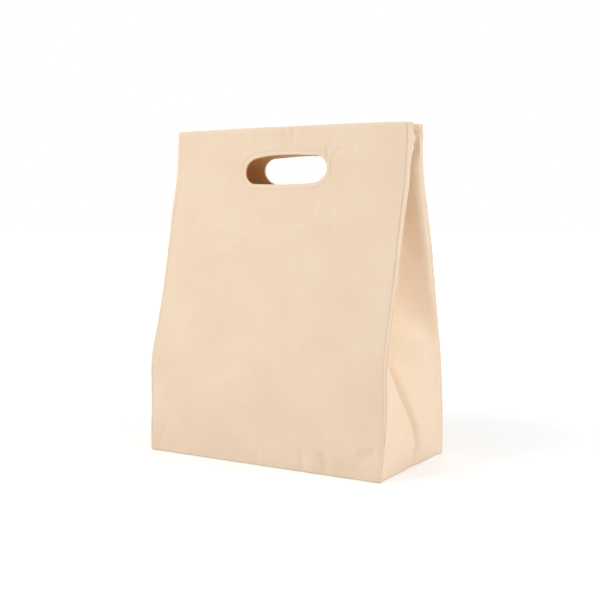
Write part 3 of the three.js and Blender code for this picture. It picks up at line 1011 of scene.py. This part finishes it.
def stitch_points(line, away):
    """One arched stitch at each step of a line: its rings of thread, sunk into the cloth at both ends."""
    place, way, share = along_line(line, STITCH_PITCH)
    up = between(share, np.linspace(0, 1, len(line)), away)
    up -= way * (up * way).sum(1, keepdims=True)
    up = unit(up)
    beside = np.cross(way, up)
    along = np.linspace(-1, 1, STITCH_RINGS)
    arch = THREAD_RADIUS * (STITCH_ARCH * np.sqrt(1 - along**2) - STITCH_DIP)
    thin = THREAD_RADIUS * (1 - STITCH_TAPER * along**4)
    turn = np.linspace(0, 2 * math.pi, THREAD_SIDES, endpoint=False)
    centre = place[:, None] + way[:, None] * (along * STITCH_LENGTH / 2)[None, :, None]
    centre = centre + up[:, None] * arch[None, :, None]
    round_it = np.cos(turn)[:, None] * up[:, None, None] + np.sin(turn)[:, None] * beside[:, None, None]
    return centre[:, :, None] + thin[None, :, None, None] * round_it


def stitch_piece(name, rows):
    """All the stitches of one seam as one piece of thread work."""
    tubes = np.concatenate(rows)
    count = len(tubes)
    faces = []
    for rings in np.arange(tubes.size // 3).reshape(tubes.shape[:3]):
        faces += [face[::-1] for face in tube_faces(rings)]
    around = np.linspace(0, 2 * math.pi * THREAD_RADIUS, THREAD_SIDES, endpoint=False)
    lengths = np.linspace(0, STITCH_LENGTH, STITCH_RINGS)
    uv = np.stack(np.broadcast_arrays(around[None, :], lengths[:, None]), -1).reshape(-1, 2)
    return mesh_piece(name, tubes.reshape(-1, 3), faces, np.tile(uv, (count, 1)), cotton_thread)


half_turn = np.linspace(-math.pi / 2, math.pi / 2, RING_POINTS)
ring_radius = SLOT_HEIGHT / 2 + SLOT_STITCH
run = np.linspace(SLOT_STRAIGHT, -SLOT_STRAIGHT, RING_POINTS)
half_x = np.concatenate([SLOT_STRAIGHT + ring_radius * np.cos(half_turn), run[1:-1]])
half_z = np.concatenate([ring_radius * np.sin(half_turn), np.full(len(run) - 2, ring_radius)])
ring_x = np.concatenate([half_x, -half_x, half_x[:1]])
ring_z = SLOT_Z + np.concatenate([half_z, -half_z, half_z[:1]])
ring_lip = slot_lip(SLOT_STITCH) - RING_SINK
for end, wall in WALLS.items():
    pieces = []
    for side in wall["sides"].values():
        face_line, back_line, away, ridge = ridge_frames[end, side]
        kept = (ridge_rise > FOOT + STITCH_SETBACK) & (ridge_rise < BRIM - STITCH_SETBACK)
        row = stitch_piece(
            f"{end}_{side}_edge_stitches",
            [stitch_points(face_line[kept], away[kept]), stitch_points(back_line[kept], -away[kept])],
        )
        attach(row, f"{end}_wall")
        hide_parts(f"{end}_{side}_edge_stitching")
        pieces += [ridge, row]
    outer_ring = on_wall(wall, ring_x, ring_z, ring_lip)
    outwards = on_wall(wall, ring_x, ring_z, ring_lip + 1 * MM) - outer_ring
    inner_ring = on_wall(wall, ring_x, ring_z, FACING_FRONT - CANVAS)
    ring = stitch_piece(
        f"{end}_slot_stitches",
        [stitch_points(outer_ring, outwards), stitch_points(inner_ring, -outwards)],
    )
    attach(ring, f"{end}_wall")
    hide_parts(f"{end}_slot_stitching")

# Floor and light
# A white studio sweep under soft light: a wide lamp in front on the left, weaker ones on the right
# and behind that fill the gusset and the back, and a white surround. The floor keeps the shadow.
SURROUND_LIGHT = 0.55
FLOOR_SIDES = 48

# How far each ring of the floor reaches, in metres, and how strongly it glows in the picture.
FLOOR_RINGS = ((0.0, 0.25), (0.3, 0.27), (0.6, 0.42), (1.0, 0.55), (1.6, 0.75), (2.5, 1.0), (12.0, 1.0))
floor_turn = np.linspace(0, 2 * math.pi, FLOOR_SIDES, endpoint=False)
spokes = np.stack([np.cos(floor_turn), np.sin(floor_turn), 0 * floor_turn], -1)
floor_points = np.concatenate([np.zeros((1, 3)), *[reach * spokes for reach, _ in FLOOR_RINGS[1:]]])
floor_faces = [(0, 1 + k, 1 + (k + 1) % FLOOR_SIDES) for k in range(FLOOR_SIDES)]
rings = np.arange(1, len(floor_points)).reshape(-1, FLOOR_SIDES)
for near, far in zip(rings, rings[1:]):
    floor_faces += band(far, near).tolist()
floor_mesh = bpy.data.meshes.new("floor")
floor_mesh.from_pydata(floor_points.tolist(), [], floor_faces)
floor_glow = floor_mesh.attributes.new("glow", "FLOAT", "POINT")
floor_glow.data.foreach_set(
    "value", [FLOOR_RINGS[0][1]] + [glow for _, glow in FLOOR_RINGS[1:] for _ in range(FLOOR_SIDES)]
)
floor = bpy.data.objects.new("floor", floor_mesh)
bpy.context.scene.collection.objects.link(floor)
floor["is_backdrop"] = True


def seen_directly(tree):
    """1 where the camera sees a surface, straight on, in a reflection or through glass, and else 0."""
    path = add_node(tree, "ShaderNodeLightPath", {})
    shiny = add_node(
        tree, "ShaderNodeMath",
        {0: path.outputs["Is Glossy Ray"], 1: path.outputs["Is Transmission Ray"]}, operation="MAXIMUM",
    )
    seen = add_node(
        tree, "ShaderNodeMath",
        {0: path.outputs["Is Camera Ray"], 1: shiny.outputs[0]}, operation="MAXIMUM",
    )
    return seen.outputs[0]


# Matt white paper. It shows no texture, only the soft shadow of the bag, and it glows a little where
# it is looked at, so that it goes over into the white surround.
paper = bpy.data.materials.new("white_paper_sweep")
tree = bare_tree(paper)
sheet_of_paper = add_node(tree, "ShaderNodeBsdfDiffuse", {"Color": to_linear("#EDEDED")})
glow_level = add_node(tree, "ShaderNodeAttribute", {}, attribute_name="glow")
glow_share = add_node(
    tree, "ShaderNodeMath", {0: seen_directly(tree), 1: glow_level.outputs["Fac"]}, operation="MULTIPLY"
)
glow = add_node(tree, "ShaderNodeEmission", {"Strength": glow_share.outputs[0]})
both = add_node(tree, "ShaderNodeAddShader", {0: sheet_of_paper.outputs[0], 1: glow.outputs[0]})
add_node(tree, "ShaderNodeOutputMaterial", {"Surface": both.outputs[0]})
floor_mesh.materials.append(paper)

surround = bpy.data.worlds.new("white_surround")
bpy.context.scene.world = surround
tree = bare_tree(surround)
level = add_node(
    tree, "ShaderNodeMapRange", {"Value": seen_directly(tree), "To Min": SURROUND_LIGHT, "To Max": 1.0}
)
sky = add_node(tree, "ShaderNodeBackground", {"Color": (1, 1, 1, 1), "Strength": level.outputs[0]})
add_node(tree, "ShaderNodeOutputWorld", {"Surface": sky.outputs[0]})

# Each lamp is a wide white square turned towards the bag: its place and size in metres, and watts.
LAMPS = (
    ("front_left_lamp", (-1.0, -1.5, 1.3), 1.4, 21),
    ("right_lamp", (1.75, 0.2, 0.75), 1.0, 14.7),
    ("back_lamp", (-1.0, 1.9, 1.3), 1.4, 9),
)
bag_middle = Vector((0, 0, BRIM / 2))
for name, place, size, power in LAMPS:
    light = bpy.data.lights.new(name, "AREA")
    light.shape = "SQUARE"
    light.size = size
    light.energy = power
    lamp = bpy.data.objects.new(name, light)
    lamp.location = place
    lamp.rotation_euler = (bag_middle - Vector(place)).to_track_quat("-Z", "Y").to_euler()
    bpy.context.scene.collection.objects.link(lamp)

# Camera
# It stands to the right of the bag's front, at three quarters of the bag's height, and looks
# slightly down, as fitted to the outline of the bag in the photograph.
CAMERA_AZIMUTH = math.radians(31.26)
CAMERA_PITCH = math.radians(4.88)
CAMERA_DISTANCE = 1.1118
CAMERA_AIM = Vector((0.00396, 0.00241, 0.16268))
CAMERA_LENS = 63.08
SENSOR_WIDTH = 36
camera_data = bpy.data.cameras.new("camera")
camera_data.sensor_width = SENSOR_WIDTH
camera_data.lens = CAMERA_LENS
camera = bpy.data.objects.new("camera", camera_data)
bpy.context.scene.collection.objects.link(camera)
backwards = Vector((
    math.sin(CAMERA_AZIMUTH) * math.cos(CAMERA_PITCH),
    -math.cos(CAMERA_AZIMUTH) * math.cos(CAMERA_PITCH),
    math.sin(CAMERA_PITCH),
))
camera.location = CAMERA_AIM + CAMERA_DISTANCE * backwards
camera.rotation_euler = (-backwards).to_track_quat("-Z", "Y").to_euler()
bpy.context.scene.camera = camera
bpy.context.scene.view_settings.view_transform = "Standard"

low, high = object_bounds()
